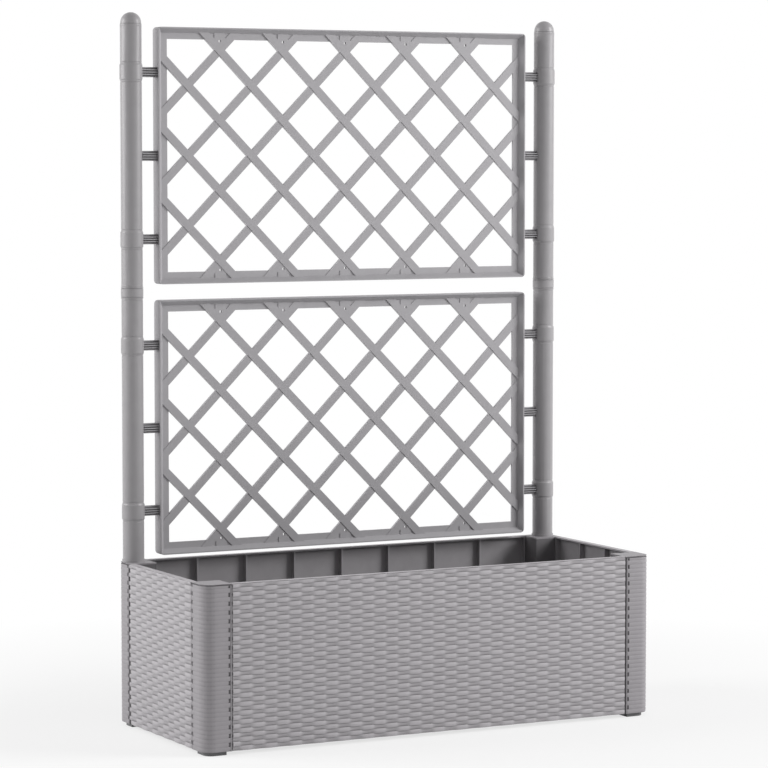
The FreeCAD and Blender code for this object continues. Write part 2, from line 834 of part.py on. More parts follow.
def lattice_panel(name, middle, pins):
    """Frame with a flank sloping in from each lip to a thin rim, and two layers of slats."""
    body = new_body(name)
    half_wide = size("trellis_width") / 2
    half_high = size("trellis_height") / 2
    half_deep = size("trellis_depth") / 2
    half_thick = size("rim_thickness") / 2
    foot = size("lip_width") + size("flank_width")
    window_inset = foot + size("rim_width")

    def inset_sketch(label, inset, level):
        sketch = new_sketch(body, label, "XZ_Plane", level)
        across = half_wide - inset
        rise = half_high - inset
        rectangle(sketch, -across, across, -rise, rise)
        return sketch

    block = pad(body, inset_sketch("frame", Size.of(0), -half_deep), size("trellis_depth"))
    fillet(body, block, size("trellis_round"), lambda middle_point, line: near(abs(line.y), 1))
    for label, side in (("front", 1), ("rear", -1)):
        lip = inset_sketch(label + "_lip", size("lip_width"), half_deep * side)
        loft(body, "Subtractive", lip, inset_sketch(label + "_flank", foot, half_thick * side))
    pocket(body, inset_sketch("window", window_inset, half_thick), size("rim_thickness"))

    slat_inset = size("lip_width") + size("flank_width") / 2
    run = (half_wide - slat_inset, half_high - slat_inset)
    for label, lean, proud in (("rising", 1, size("slat_under")), ("falling", -1, size("slat_over"))):
        sketch = new_sketch(body, label + "_slats", "XZ_Plane", half_thick + proud)
        slats(sketch, run, lean)
        pad(body, sketch, size("rim_thickness") + proud + size("slat_under"), reverse=True)

    web_front = half_thick + size("slat_under")
    webs = new_sketch(body, "webs", "XZ_Plane", web_front)
    holes = new_sketch(body, "tie_holes", "XZ_Plane", web_front)
    half_web = size("web_width") / 2
    outer_row = size("lattice_pitch") * 1.5
    for step in (-2, -1, 0, 1, 2):
        across = size("lattice_pitch") * step
        rectangle(webs, across - half_web, across + half_web, outer_row, run[1])
        rectangle(webs, across - half_web, across + half_web, -run[1], -outer_row)
        for side in (-1, 1):
            square(holes, across, (half_high - size("tie_setback")) * side, size("tie_hole"))
    pad(body, webs, web_front * 2, reverse=True)
    pocket(body, holes, web_front * 2)

    for label, side, forward in (("left", -1, True), ("right", 1, False)):
        seats = new_sketch(body, label + "_seats", "YZ_Plane", half_wide * side)
        stems = new_sketch(body, label + "_stem_holes", "YZ_Plane", half_wide * side)
        for height in pins:
            square(seats, 0, height - middle, size("pin_diameter") + size("fit_gap") * 2)
            square(stems, 0, height - middle, size("pin_stem") + size("fit_gap") * 2)
        pocket(body, seats, size("trellis_seat"), forward)
        pocket(body, stems, size("trellis_seat") + size("stem_in_trellis") + size("fit_gap"), forward)
    place(body, 0, pole_along, middle)
    subparts.append(body)


lattice_panel("lower_trellis_panel", lower_middle, lower_pins)
lattice_panel("upper_trellis_panel", upper_middle, upper_pins)

# ---------------------------------------------------------------- checks and export
doc.recompute()
for item in doc.Objects:
    require("Invalid" not in item.State and "Error" not in item.State, f"{item.Name} did not build")
for item in subparts:
    shape = item.Shape
    require(not shape.isNull() and shape.isValid(), f"{item.Label} has no valid shape")
    require(len(shape.Solids) == 1, f"{item.Label} is {len(shape.Solids)} solids")
    print(f"{item.Label}: {shape.Volume / 1000:.1f} cm3, {len(shape.Faces)} faces")
print("sub-parts:", len(subparts))

os.makedirs("parts", exist_ok=True)
for item in subparts:
    item.Shape.exportStep(f"parts/{item.Label}.step")
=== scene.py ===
# %% [markdown]
# # A wicker-look planter with a trellis
#
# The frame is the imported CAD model: box, posts, pins and lattice panels are already in
# place, in metres, with the front at -Y and the floor at z = 0. This lesson weaves the
# skin of the box, rounds the posts and caps, gives every surface its plastic, and sets up
# the studio.

import json
import math

import bmesh
import bpy
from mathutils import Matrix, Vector


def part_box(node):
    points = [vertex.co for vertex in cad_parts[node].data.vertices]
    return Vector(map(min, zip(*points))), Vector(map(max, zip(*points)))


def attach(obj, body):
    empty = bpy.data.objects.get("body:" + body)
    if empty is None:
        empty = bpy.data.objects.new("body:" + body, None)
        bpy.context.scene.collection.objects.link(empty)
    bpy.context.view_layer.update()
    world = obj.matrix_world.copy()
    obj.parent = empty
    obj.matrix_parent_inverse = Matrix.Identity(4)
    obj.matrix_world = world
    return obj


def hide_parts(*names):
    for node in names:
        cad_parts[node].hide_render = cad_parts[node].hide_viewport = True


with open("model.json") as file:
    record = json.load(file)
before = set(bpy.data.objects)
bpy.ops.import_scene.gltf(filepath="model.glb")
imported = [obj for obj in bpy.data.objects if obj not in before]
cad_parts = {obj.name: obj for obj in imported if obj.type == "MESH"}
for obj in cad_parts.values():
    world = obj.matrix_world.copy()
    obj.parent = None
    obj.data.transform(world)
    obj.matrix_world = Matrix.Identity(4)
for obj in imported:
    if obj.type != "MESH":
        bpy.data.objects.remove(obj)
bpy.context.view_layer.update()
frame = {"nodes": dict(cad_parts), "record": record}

# %% [markdown]
# ## Small helpers
#
# Everything is modelled as by hand: add a primitive, select by place in edit mode, run an
# operator, apply the modifiers. These helpers only shorten that.

# %% Helpers for modelling
HALF_WIDTH = 0.500
HALF_DEPTH = 0.210
WALL_LOW = 0.008
WALL_HIGH = 0.330
CORNER = 0.060


def deselect():
    bpy.ops.object.select_all(action="DESELECT")


def activate(item):
    """Selects one object only and makes it the active one."""
    deselect()
    item.select_set(True)
    bpy.context.view_layer.objects.active = item


def select_where(item, test):
    """In edit mode, selects the vertices whose place passes a test."""
    mesh = bmesh.from_edit_mesh(item.data)
    for vertex in mesh.verts:
        vertex.select_set(bool(test(vertex.co)))
    mesh.select_flush_mode()
    bmesh.update_edit_mesh(item.data)
    return sum(vertex.select for vertex in mesh.verts)


def push_where(item, test, offset):
    """Moves the vertices that pass a test by an offset."""
    if select_where(item, test):
        bpy.ops.transform.translate(value=offset)


def to_edit(item):
    activate(item)
    bpy.ops.object.mode_set(mode="EDIT")
    bpy.context.tool_settings.mesh_select_mode = (True, False, False)
    bpy.ops.mesh.select_all(action="DESELECT")


def to_object():
    bpy.ops.object.mode_set(mode="OBJECT")


def apply_scale(item):
    activate(item)
    bpy.ops.object.transform_apply(location=True, rotation=True, scale=True)


def copy_of(item, name):
    """A copy with its own mesh."""
    activate(item)
    bpy.ops.object.duplicate(linked=False)
    twin = bpy.context.object
    twin.name = name
    twin.data.name = name
    return twin


def apply_modifiers(item):
    activate(item)
    for modifier in list(item.modifiers):
        bpy.ops.object.modifier_apply(modifier=modifier.name)


def join(items, name):
    """Joins meshes into the first one."""
    deselect()
    for item in items:
        item.select_set(True)
    bpy.context.view_layer.objects.active = items[0]
    bpy.ops.object.join()
    items[0].name = name
    items[0].data.name = name
    return items[0]


def cut_off(item, place, normal):
    """Cuts away what lies beyond a plane."""
    to_edit(item)
    bpy.ops.mesh.select_all(action="SELECT")
    bpy.ops.mesh.bisect(plane_co=place, plane_no=normal, clear_outer=True, clear_inner=False)
    to_object()


def smooth(item, degrees):
    """Shades round where faces meet at less than an angle."""
    activate(item)
    bpy.ops.object.shade_smooth_by_angle(angle=math.radians(degrees))


# %% [markdown]
# ## One strand of the weave
#
# On the real box the wicker is moulded into the wall. It could be a bump pattern, but it
# stands out by about 2 mm and shows along the edges, so the strands are real shapes here.
#
# A strand runs over one column and under the next. It starts as a flat grid, two columns
# long and one strand high. Each row of vertices across it is then moved in or out, so that
# it bulges over the first column and dips under the second one.

# %% Model the strand over two columns
COLUMN = 0.0262
STRAND = 0.00847
STRAND_HEIGHT = 0.0090
WAVE = 0.0011
ROUNDING = 0.0011
RELIEF = WAVE + ROUNDING
SQUARENESS = 0.4
STEPS = 16
ROWS = 4
TOUCH = 1e-5


def wave(share):
    """Outward place of the strand along its run: +1 over a column, -1 under one."""
    rise = math.sin(math.pi * share)
    return math.copysign(abs(rise) ** SQUARENESS, rise)


def round_strand(item, rounding):
    """Bulges a flat strand outward, most along its middle row."""
    for row in range(ROWS + 1):
        height = STRAND_HEIGHT * (row / ROWS - 0.5)
        bulge = math.sqrt(max(0, 1 - (2 * row / ROWS - 1) ** 2))
        push_where(item, lambda co: abs(co.z - height) < TOUCH, (0, -rounding * bulge, 0))


def make_strand():
    """Two columns of one strand, facing -Y, from x = 0, round z = 0."""
    deselect()
    bpy.ops.mesh.primitive_grid_add(
        x_subdivisions=STEPS, y_subdivisions=ROWS, size=1, rotation=(math.pi / 2, 0, 0)
    )
    strand = bpy.context.object
    strand.name = "strand"
    strand.scale = (2 * COLUMN, STRAND_HEIGHT, 1)
    strand.location = (COLUMN, 0, 0)
    apply_scale(strand)
    to_edit(strand)
    for step in range(STEPS + 1):
        across = 2 * COLUMN * step / STEPS
        depth = -WAVE * wave(2 * step / STEPS)
        push_where(strand, lambda co: abs(co.x - across) < TOUCH, (0, depth, 0))
    round_strand(strand, ROUNDING)
    to_object()
    return strand


strand = make_strand()
print("strand:", len(strand.data.polygons), "faces,", [round(v, 4) for v in strand.dimensions])

# %% [markdown]
# ## A woven sheet
#
# All strands are alike, so they aren't modelled one by one. Two of them, the upper one
# shifted by a column, are repeated along and up by array modifiers. The sheet is cut at
# both ends, at the top, and where it would dip below the skin of the wall.

# %% Weave sheets for the walls
SEAM = 0.0014
FRONT_END = HALF_WIDTH - CORNER
SIDE_END = HALF_DEPTH - CORNER
FRONT_FIRST_COLUMN = -0.425
SIDE_FIRST_COLUMN = -0.142
SHEET_TOP = WALL_HIGH - 0.0012
SKIN_PUSH = 0.00285
SHEET_BACK = SKIN_PUSH + 0.00005
WELD = 0.0001
WEAVE_ANGLE = 50


def repeat(item, name, count, offset):
    """Adds copies of a piece, each moved on by an offset."""
    array = item.modifiers.new(name, "ARRAY")
    array.use_relative_offset = False
    array.use_constant_offset = True
    array.constant_offset_displace = offset
    array.count = count
    return array


def stack(item):
    """Repeats a pair of strands up the wall."""
    rows = round((WALL_HIGH - WALL_LOW) / STRAND)
    repeat(item, "up", (rows + 1) // 2, (0, 0, 2 * STRAND))


def weave(name, first_column, left, right):
    """Woven sheet, facing -Y with its outermost point at y = 0, between two ends."""
    sheet = copy_of(strand, name)
    upper = copy_of(strand, name + "_upper")
    upper.location = (-COLUMN, 0, STRAND)
    apply_scale(upper)
    sheet = join([sheet, upper], name)
    columns = math.ceil((right - left) / (2 * COLUMN)) + 2
    along = repeat(sheet, "along", columns, (2 * COLUMN, 0, 0))
    along.use_merge_vertices = True
    along.merge_threshold = WELD
    stack(sheet)
    apply_modifiers(sheet)
    sheet.location = (first_column - 2 * COLUMN, RELIEF, WALL_LOW + STRAND_HEIGHT / 2)
    apply_scale(sheet)
    cut_off(sheet, (left, 0, 0), (-1, 0, 0))
    cut_off(sheet, (right, 0, 0), (1, 0, 0))
    cut_off(sheet, (0, 0, SHEET_TOP), (0, 0, 1))
    cut_off(sheet, (0, SHEET_BACK, 0), (0, 1, 0))
    smooth(sheet, WEAVE_ANGLE)
    return sheet


front_weave = weave("front_weave", FRONT_FIRST_COLUMN, -FRONT_END + SEAM, FRONT_END - SEAM)
side_weave = weave("side_weave", SIDE_FIRST_COLUMN, -SIDE_END + SEAM, SIDE_END - SEAM)
print("front weave:", len(front_weave.data.polygons), "faces")

# %% [markdown]
# ## Walls
#
# The relief could be cut into the CAD walls, but that is slow and hard to change. So each
# wall is a copy of its CAD piece with its outer face pushed in. The woven sheet fills the
# space up to the old face, and its deepest parts end just behind the pushed face.

# %% Dress the four walls
SKIN_TOP = WALL_HIGH - 0.0016
FACE_TOUCH = 0.0002
WALLS = [
    ("front_panel", front_weave, 0, HALF_DEPTH),
    ("right_panel", side_weave, 90, HALF_WIDTH),
    ("rear_panel", front_weave, 180, HALF_DEPTH),
    ("left_panel", side_weave, 270, HALF_WIDTH),
]


def cut_across(height):
    """In edit mode, cuts all faces at a height and keeps both sides."""
    bpy.ops.mesh.select_all(action="SELECT")
    bpy.ops.mesh.bisect(plane_co=(0, 0, height), plane_no=(0, 0, 1))


def dress_wall(node, sheet, turn, distance):
    """Joins a turned copy of a woven sheet with a thinned copy of a wall."""
    angle = math.radians(turn)
    outward = Vector((math.sin(angle), -math.cos(angle), 0))
    wall = copy_of(frame["nodes"][node], node + "_woven")
    wall.parent = None
    to_edit(wall)
    cut_across(SKIN_TOP)
    reach = distance - FACE_TOUCH
    push_where(
        wall,
        lambda co: co.dot(outward) > reach and co.z < SKIN_TOP + TOUCH,
        -outward * SKIN_PUSH,
    )
    to_object()
    skin = copy_of(sheet, node + "_sheet")
    skin.rotation_euler = (0, 0, angle)
    skin.location = outward * distance
    apply_scale(skin)
    piece = join([wall, skin], node + "_woven")
    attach(piece, "planter")
    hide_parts(node)
    return piece


woven = [dress_wall(*wall) for wall in WALLS]
for item in (front_weave, side_weave, strand):
    bpy.data.objects.remove(item, do_unlink=True)
print("walls:", [(piece.name, len(piece.data.polygons)) for piece in woven])

# %% [markdown]
# ## Corner columns
#
# Flat strands wrap round each column. The walls' sheet could be bent round it, but its
# strands are wavy and these are flat. So they are swept in one go: extruded along the
# front face, spun round the corner and extruded along the side face. The stations are the
# places of their cross-sections, measured from the seam. Every second strand dips just
# beside the bead at both seams, and that gives the dashed line there.

# %% Sweep the strands of a corner
CORNER_ROUND = 0.025
CORNER_BULGE = 0.0006
CORNER_BASE = 0.0008
FLAT = CORNER - CORNER_ROUND
STATIONS = [0.0044, 0.0052, 0.0076, 0.0084, 0.014, 0.024, FLAT]
DIVE = 0.0018
BEAD = 0.0014
BEAD_PLACE = CORNER - 0.0028
BEAD_SIDES = 12
ROUND_STEPS = 6
COLUMN_TOP = WALL_HIGH - 0.003


def extrude_selected(offset):
    bpy.ops.mesh.extrude_region_move(TRANSFORM_OT_translate={"value": offset})


def corner_strand(name, dives):
    """One strand round a corner. The outer faces are at x = 0 and y = 0, the seams at CORNER."""
    deselect()
    width = STATIONS[1] - STATIONS[0]
    bpy.ops.mesh.primitive_grid_add(
        x_subdivisions=1, y_subdivisions=ROWS, size=1, rotation=(math.pi / 2, 0, 0)
    )
    item = bpy.context.object
    item.name = name
    item.scale = (width, STRAND_HEIGHT, 1)
    item.location = (CORNER - STATIONS[0] - width / 2, CORNER_BASE, 0)
    apply_scale(item)
    to_edit(item)
    round_strand(item, CORNER_BULGE)
    select_where(item, lambda co: co.x < CORNER - STATIONS[1] + TOUCH)
    for here, following in zip(STATIONS[1:-1], STATIONS[2:]):
        extrude_selected((here - following, 0, 0))
    bpy.ops.mesh.spin(
        steps=ROUND_STEPS,
        angle=math.pi / 2,
        center=(CORNER_ROUND, CORNER_ROUND, 0),
        axis=(0, 0, 1),
    )
    for here, following in zip(STATIONS[::-1][:-1], STATIONS[::-1][1:]):
        extrude_selected((0, here - following, 0))
    if dives:
        for station in STATIONS[1:3]:
            edge = CORNER - station
            push_where(item, lambda co: abs(co.x - edge) < TOUCH, (0, DIVE, 0))
            push_where(item, lambda co: abs(co.y - edge) < TOUCH, (DIVE, 0, 0))
    to_object()
    return item


def corner_bead(across, along):
    """Smooth upright bead beside a seam."""
    deselect()
    bpy.ops.mesh.primitive_cylinder_add(
        vertices=BEAD_SIDES,
        radius=BEAD,
        depth=COLUMN_TOP - WALL_LOW,
        end_fill_type="NOTHING",
        location=(across, along, (COLUMN_TOP + WALL_LOW) / 2),
    )
    bead = bpy.context.object
    apply_scale(bead)
    return bead


plain = corner_strand("corner_weave", False)
diving = corner_strand("corner_weave_dive", True)
diving.location = (0, 0, STRAND)
apply_scale(diving)
corner_weave = join([plain, diving], "corner_weave")
stack(corner_weave)
apply_modifiers(corner_weave)
corner_weave.location = (0, 0, WALL_LOW + STRAND_HEIGHT / 2)
apply_scale(corner_weave)
cut_off(corner_weave, (0, 0, COLUMN_TOP), (0, 0, 1))
beads = [corner_bead(BEAD_PLACE, BEAD), corner_bead(BEAD, BEAD_PLACE)]
corner_weave = join([corner_weave] + beads, "corner_weave")
smooth(corner_weave, WEAVE_ANGLE)
print("corner weave:", len(corner_weave.data.polygons), "faces")

# %% Dress the four corner columns
CORNERS = [
    ("corner_front_left", -HALF_WIDTH, -HALF_DEPTH, 0),
    ("corner_front_right", HALF_WIDTH, -HALF_DEPTH, 90),
    ("corner_rear_right", HALF_WIDTH, HALF_DEPTH, 180),
    ("corner_rear_left", -HALF_WIDTH, HALF_DEPTH, 270),
]
TOP_PLATE = WALL_HIGH - 0.0028
ROUND_TOUCH = 1e-4
SAME_PLACE = 2e-6
PLACE_DIGITS = 6


def dress_corner(node, across, along, turn):
    """Pushes the skin of a column in below its top plate and puts the weave over it."""
    column = copy_of(frame["nodes"][node], node + "_woven")
    column.parent = None
    to_edit(column)
    cut_across(TOP_PLATE)
    side_x = math.copysign(1, across)
    side_y = math.copysign(1, along)
    middle_x = across - side_x * CORNER_ROUND
    middle_y = along - side_y * CORNER_ROUND
    mesh = bmesh.from_edit_mesh(column.data)
    places = set()
    for vertex in mesh.verts:
        spoke = Vector((vertex.co.x - middle_x, vertex.co.y - middle_y))
        outside = spoke.x * side_x > -TOUCH and spoke.y * side_y > -TOUCH
        if outside and abs(spoke.length - CORNER_ROUND) < ROUND_TOUCH:
            places.add((round(vertex.co.x, PLACE_DIGITS), round(vertex.co.y, PLACE_DIGITS)))
    below = TOP_PLATE + TOUCH
    inner_x = middle_x + side_x * ROUND_TOUCH
    inner_y = middle_y + side_y * ROUND_TOUCH

    def on_end(co):
        face = abs(co.x - across) < FACE_TOUCH
        return face and (co.y - inner_y) * side_y < 0 and co.z < below

    def on_long_side(co):
        face = abs(co.y - along) < FACE_TOUCH
        return face and (co.x - inner_x) * side_x < 0 and co.z < below

    for x, y in places:
        spoke = Vector((x - middle_x, y - middle_y, 0)).normalized()
        push_where(
            column,
            lambda co: abs(co.x - x) < SAME_PLACE and abs(co.y - y) < SAME_PLACE and co.z < below,
            -spoke * SKIN_PUSH,
        )
    push_where(column, on_end, (-side_x * SKIN_PUSH, 0, 0))
    push_where(column, on_long_side, (0, -side_y * SKIN_PUSH, 0))
    to_object()
    skin = copy_of(corner_weave, node + "_sheet")
    skin.rotation_euler = (0, 0, math.radians(turn))
    skin.location = (across, along, 0)
    apply_scale(skin)
    piece = join([column, skin], node + "_woven")
    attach(piece, "planter")
    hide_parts(node)
    return piece


woven += [dress_corner(*corner) for corner in CORNERS]
bpy.data.objects.remove(corner_weave, do_unlink=True)
print("woven pieces:", [(piece.name, len(piece.data.polygons)) for piece in woven])

# %% [markdown]
# ## Posts, couplings, feet and caps
#
# These are smooth moulded pieces. They could be made anew, but the CAD pieces have all
# the seats and sockets already, so copies of them are shaded round. A thin groove or ridge
# is turned into a post with three cuts across it, whose middle loop is then scaled in or
# out. A cap keeps its plug and gets a smooth dome, because its CAD dome has twelve sides.

# %% Round the posts
RING_HALF = 0.0010
GROOVE = -0.0006
BAND_GROOVE = -0.0012
RIDGE = 0.0004
COLLAR_HALF = 0.017
BESIDE_COLLAR = 0.0024
BELOW_BAND = 0.0036
ABOVE_BAND = 0.0030
BELOW_CAP = 0.0040
INSIDE_BAND = 0.0026
OUTER_SHARE = 0.9
POST_ANGLE = 20
FOOT_ANGLE = 30


def post_axis(side):
    """Middle of a post, seen from above, and its radius at the cap."""
    low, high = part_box("cap_" + side)
    return (low[0] + high[0]) / 2, (low[1] + high[1]) / 2, (high[0] - low[0]) / 2


def joined_copy(node, name):
    """A copy of a CAD piece whose loose triangles are merged at their corners."""
    piece = copy_of(frame["nodes"][node], name)
    piece.parent = None
    to_edit(piece)
    bpy.ops.mesh.select_all(action="SELECT")
    bpy.ops.mesh.remove_doubles(threshold=TOUCH)
    to_object()
    bpy.ops.mesh.customdata_custom_splitnormals_clear()
    return piece


def cut_ring(piece, side, height, change):
    """Turns a groove or a ridge into a post at a height."""
    across, along, radius = post_axis(side)
    to_edit(piece)
    for level in (height - RING_HALF, height, height + RING_HALF):
        cut_across(level)
    least = OUTER_SHARE * radius
    select_where(
        piece,
        lambda co: abs(co.z - height) < TOUCH and math.hypot(co.x - across, co.y - along) > least,
    )
    share = 1 + change / radius
    bpy.ops.transform.resize(value=(share, share, 1), center_override=(across, along, height))
    to_object()


def stand_in(piece, node, body, degrees):
    """Shades a piece round, lets it ride with a body and hides its CAD node, so it stands in for
    the node.
    """
    smooth(piece, degrees)
    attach(piece, body)
    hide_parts(node)
    return piece


rounded = []
for side in ("left", "right"):
    for level in ("lower", "upper"):
        node = level + "_pole_" + side
        pole = joined_copy(node, node + "_round")
        low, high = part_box(node)
        for pin in ("low", "high"):
            below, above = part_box("pin_" + level + "_" + side + "_" + pin)
            collar = (below[2] + above[2]) / 2
            cut_ring(pole, side, collar + COLLAR_HALF + BESIDE_COLLAR, GROOVE)
            cut_ring(pole, side, collar - COLLAR_HALF - BESIDE_COLLAR, GROOVE)
        if level == "lower":
            cut_ring(pole, side, high[2] - BELOW_BAND, GROOVE)
        else:
            cut_ring(pole, side, low[2] + ABOVE_BAND, RIDGE)
            cut_ring(pole, side, high[2] - BELOW_CAP, RIDGE)
        rounded.append(stand_in(pole, node, level + "_trellis", POST_ANGLE))
    node = "coupling_" + side
    band = joined_copy(node, node + "_round")
    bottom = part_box("lower_pole_" + side)[1][2]
    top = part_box("upper_pole_" + side)[0][2]
    cut_ring(band, side, bottom + INSIDE_BAND, BAND_GROOVE)
    cut_ring(band, side, top - INSIDE_BAND, BAND_GROOVE)
    rounded.append(stand_in(band, node, "lower_trellis", POST_ANGLE))
    for end in ("front", "rear"):
        node = "foot_" + end + "_" + side
        foot_copy = joined_copy(node, node + "_round")
        rounded.append(stand_in(foot_copy, node, "planter", FOOT_ANGLE))
print("posts, couplings and feet:", [piece.name for piece in rounded])

# %% Model the domes of the caps
LIP = 0.0007
DOME_SIDES = 48
DOME_RINGS = 24
CLOSING = 0.3
PLUG_CUT = 0.0001
CAP_ANGLE = 40


def make_cap(side):
    """A smooth dome over the plug of a cap."""
    node = "cap_" + side
    across, along, radius = post_axis(side)
    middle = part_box(node)[1][2] - radius
    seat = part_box("upper_pole_" + side)[1][2]
    deselect()
    bpy.ops.mesh.primitive_uv_sphere_add(
        segments=DOME_SIDES,
        ring_count=DOME_RINGS,
        radius=radius,
        location=(across, along, middle),
    )
    dome = bpy.context.object
    dome.name = node + "_dome"
    apply_scale(dome)
    cut_off(dome, (0, 0, middle), (0, 0, -1))
    to_edit(dome)
    select_where(dome, lambda co: co.z < middle + TOUCH)
    extrude_selected((0, 0, seat + LIP - middle))
    extrude_selected((0, 0, -LIP))
    inwards = 1 - LIP / radius
    bpy.ops.transform.resize(value=(inwards, inwards, 1), center_override=(across, along, seat))
    extrude_selected((0, 0, 0))
    bpy.ops.transform.resize(value=(CLOSING, CLOSING, 1), center_override=(across, along, seat))
    to_object()
    plug = joined_copy(node, node + "_plug")
    cut_off(plug, (0, 0, seat + PLUG_CUT), (0, 0, 1))
    return stand_in(join([dome, plug], node + "_smooth"), node, side + "_cap", CAP_ANGLE)


rounded += [make_cap("left"), make_cap("right")]
print("rounded:", [(piece.name, len(piece.data.polygons)) for piece in rounded])

# %% [markdown]
# ## Plastics
#
# All pieces are moulded plastic. One recipe gives each its colour, a faint mottling, a
# slightly uneven gloss and a fine grain. A picture could give them too, but noise needs no
# unwrapping. It is laid out on Object coordinates, so it stays with the piece.

# %% Make the plastics
MOTTLE_SCALE = 38
MOTTLE_DETAIL = 6
GLOSS_SPREAD = 0.08
GRAIN_SCALE = 700
GRAIN_DETAIL = 3
GRAIN_STRENGTH = 0.4
GRAIN_HEIGHT = 0.00006
SHINE = 0.35


def plastic(name, colour, mottling=0.06, roughness=0.5):
    """Matt moulded plastic in one linear colour."""
    material = bpy.data.materials.new(name)
    material.use_nodes = True
    nodes = material.node_tree.nodes
    links = material.node_tree.links
    shader = nodes["Principled BSDF"]
    place = nodes.new("ShaderNodeTexCoord")
    cloud = nodes.new("ShaderNodeTexNoise")
    cloud.inputs["Scale"].default_value = MOTTLE_SCALE
    cloud.inputs["Detail"].default_value = MOTTLE_DETAIL
    links.new(place.outputs["Object"], cloud.inputs["Vector"])
    tint = nodes.new("ShaderNodeMix")
    tint.data_type = "RGBA"
    dark = [channel * (1 - mottling) for channel in colour]
    light = [channel * (1 + mottling) for channel in colour]
    tint.inputs["A"].default_value = (*dark, 1)
    tint.inputs["B"].default_value = (*light, 1)
    links.new(cloud.outputs["Fac"], tint.inputs["Factor"])
    links.new(tint.outputs["Result"], shader.inputs["Base Color"])
    gloss = nodes.new("ShaderNodeMapRange")
    gloss.inputs["To Min"].default_value = roughness - GLOSS_SPREAD
    gloss.inputs["To Max"].default_value = roughness + GLOSS_SPREAD
    links.new(cloud.outputs["Fac"], gloss.inputs["Value"])
    links.new(gloss.outputs["Result"], shader.inputs["Roughness"])
    fine = nodes.new("ShaderNodeTexNoise")
    fine.inputs["Scale"].default_value = GRAIN_SCALE
    fine.inputs["Detail"].default_value = GRAIN_DETAIL
    links.new(place.outputs["Object"], fine.inputs["Vector"])
    bump = nodes.new("ShaderNodeBump")
    bump.inputs["Strength"].default_value = GRAIN_STRENGTH
    bump.inputs["Distance"].default_value = GRAIN_HEIGHT
    links.new(fine.outputs["Fac"], bump.inputs["Height"])
    links.new(bump.outputs["Normal"], shader.inputs["Normal"])
    shader.inputs["Specular IOR Level"].default_value = SHINE
    return material


wicker = plastic("wicker", (0.440, 0.422, 0.440), mottling=0.10)
column = plastic("column", (0.315, 0.300, 0.315), mottling=0.08)
lattice = plastic("lattice", (0.385, 0.375, 0.39))
post = plastic("post", (0.335, 0.325, 0.335), roughness=0.34)
foot = plastic("foot", (0.20, 0.20, 0.205), roughness=0.6)
inside = plastic("inside", (0.03, 0.03, 0.032), roughness=0.6)
print("plastics:", [material.name for material in (wicker, column, lattice, post, foot, inside)])

# %% [markdown]
# ## Painted shade in the gaps
#
# In the photograph the gaps of the weave are darker than the relief alone makes them, as
# shade gathers deep between the strands. That shade is painted into the colour here. A
# picture could carry it, but a formula needs none. It takes how far a point lies inside the
# box's outer surface: the box is a core of half its size less the corner's radius, and its
# outer surface lies that radius away from the core. FAR_UP takes the height out of the
# distance, and from the columns' top plates up the colour stays as it was.

# %% Paint shade into the gaps of the weave
FAR_UP = 9


def paint_gap_shade(material, light_until, dark_from, darkest_shade):
    """Paints shade into the gaps of the weave, the more the further they lie inside the box's
    outer surface.
    """
    nodes = material.node_tree.nodes
    links = material.node_tree.links
    place = nodes.new("ShaderNodeTexCoord")
    fold = nodes.new("ShaderNodeVectorMath")
    fold.operation = "ABSOLUTE"
    links.new(place.outputs["Object"], fold.inputs[0])
    core = nodes.new("ShaderNodeVectorMath")
    core.operation = "SUBTRACT"
    core_size = (HALF_WIDTH - CORNER_ROUND, HALF_DEPTH - CORNER_ROUND, FAR_UP)
    core.inputs[1].default_value = core_size
    links.new(fold.outputs["Vector"], core.inputs[0])
    beyond = nodes.new("ShaderNodeVectorMath")
    beyond.operation = "MAXIMUM"
    links.new(core.outputs["Vector"], beyond.inputs[0])
    reach = nodes.new("ShaderNodeVectorMath")
    reach.operation = "LENGTH"
    links.new(beyond.outputs["Vector"], reach.inputs[0])
    shade = nodes.new("ShaderNodeMapRange")
    shade.inputs["From Min"].default_value = CORNER_ROUND - dark_from
    shade.inputs["From Max"].default_value = CORNER_ROUND - light_until
    shade.inputs["To Min"].default_value = darkest_shade
    links.new(reach.outputs["Value"], shade.inputs["Value"])
    split = nodes.new("ShaderNodeSeparateXYZ")
    links.new(place.outputs["Object"], split.inputs[0])
    rim = nodes.new("ShaderNodeMath")
    rim.operation = "GREATER_THAN"
    rim.inputs[1].default_value = TOP_PLATE
    links.new(split.outputs["Z"], rim.inputs[0])
    kept = nodes.new("ShaderNodeMath")
    kept.operation = "MAXIMUM"
    links.new(shade.outputs["Result"], kept.inputs[0])
    links.new(rim.outputs["Value"], kept.inputs[1])
    shader = nodes["Principled BSDF"]
    tint = shader.inputs["Base Color"].links[0].from_socket
    # The painted shade scales the plastic's colour down in the gaps.
    darker = nodes.new("ShaderNodeVectorMath")
    darker.operation = "SCALE"
    links.new(tint, darker.inputs[0])
    links.new(kept.outputs["Value"], darker.inputs["Scale"])
    links.new(darker.outputs["Vector"], shader.inputs["Base Color"])


# Painted shade: the gaps of the woven walls, and more strongly those of the corner columns, are
# darkened in their colour.
paint_gap_shade(wicker, light_until=0.0004, dark_from=0.0028, darkest_shade=0.74)
paint_gap_shade(column, light_until=0.0004, dark_from=0.0024, darkest_shade=0.45)
print("gap_shade_painted:", wicker.name, column.name)

# %% Paint the pieces
PAINTS = {
    "lattice_plastic": lattice,
    "post_plastic": post,
    "foot_plastic": foot,
    "inner_plastic": inside,
    "wicker_plastic": wicker,
}


def dress(item, material):
    item.data.materials.clear()
    item.data.materials.append(material)


for part in frame["record"]["subparts"]:
    dress(frame["nodes"][part["node"]], PAINTS[part["material_slot"]])
for piece in woven:
    dress(piece, column if piece.name.startswith("corner") else wicker)
for piece in rounded:
    dress(piece, foot if piece.name.startswith("foot") else post)
print("painted:", len(frame["nodes"]), "nodes,", len(woven) + len(rounded), "new pieces")

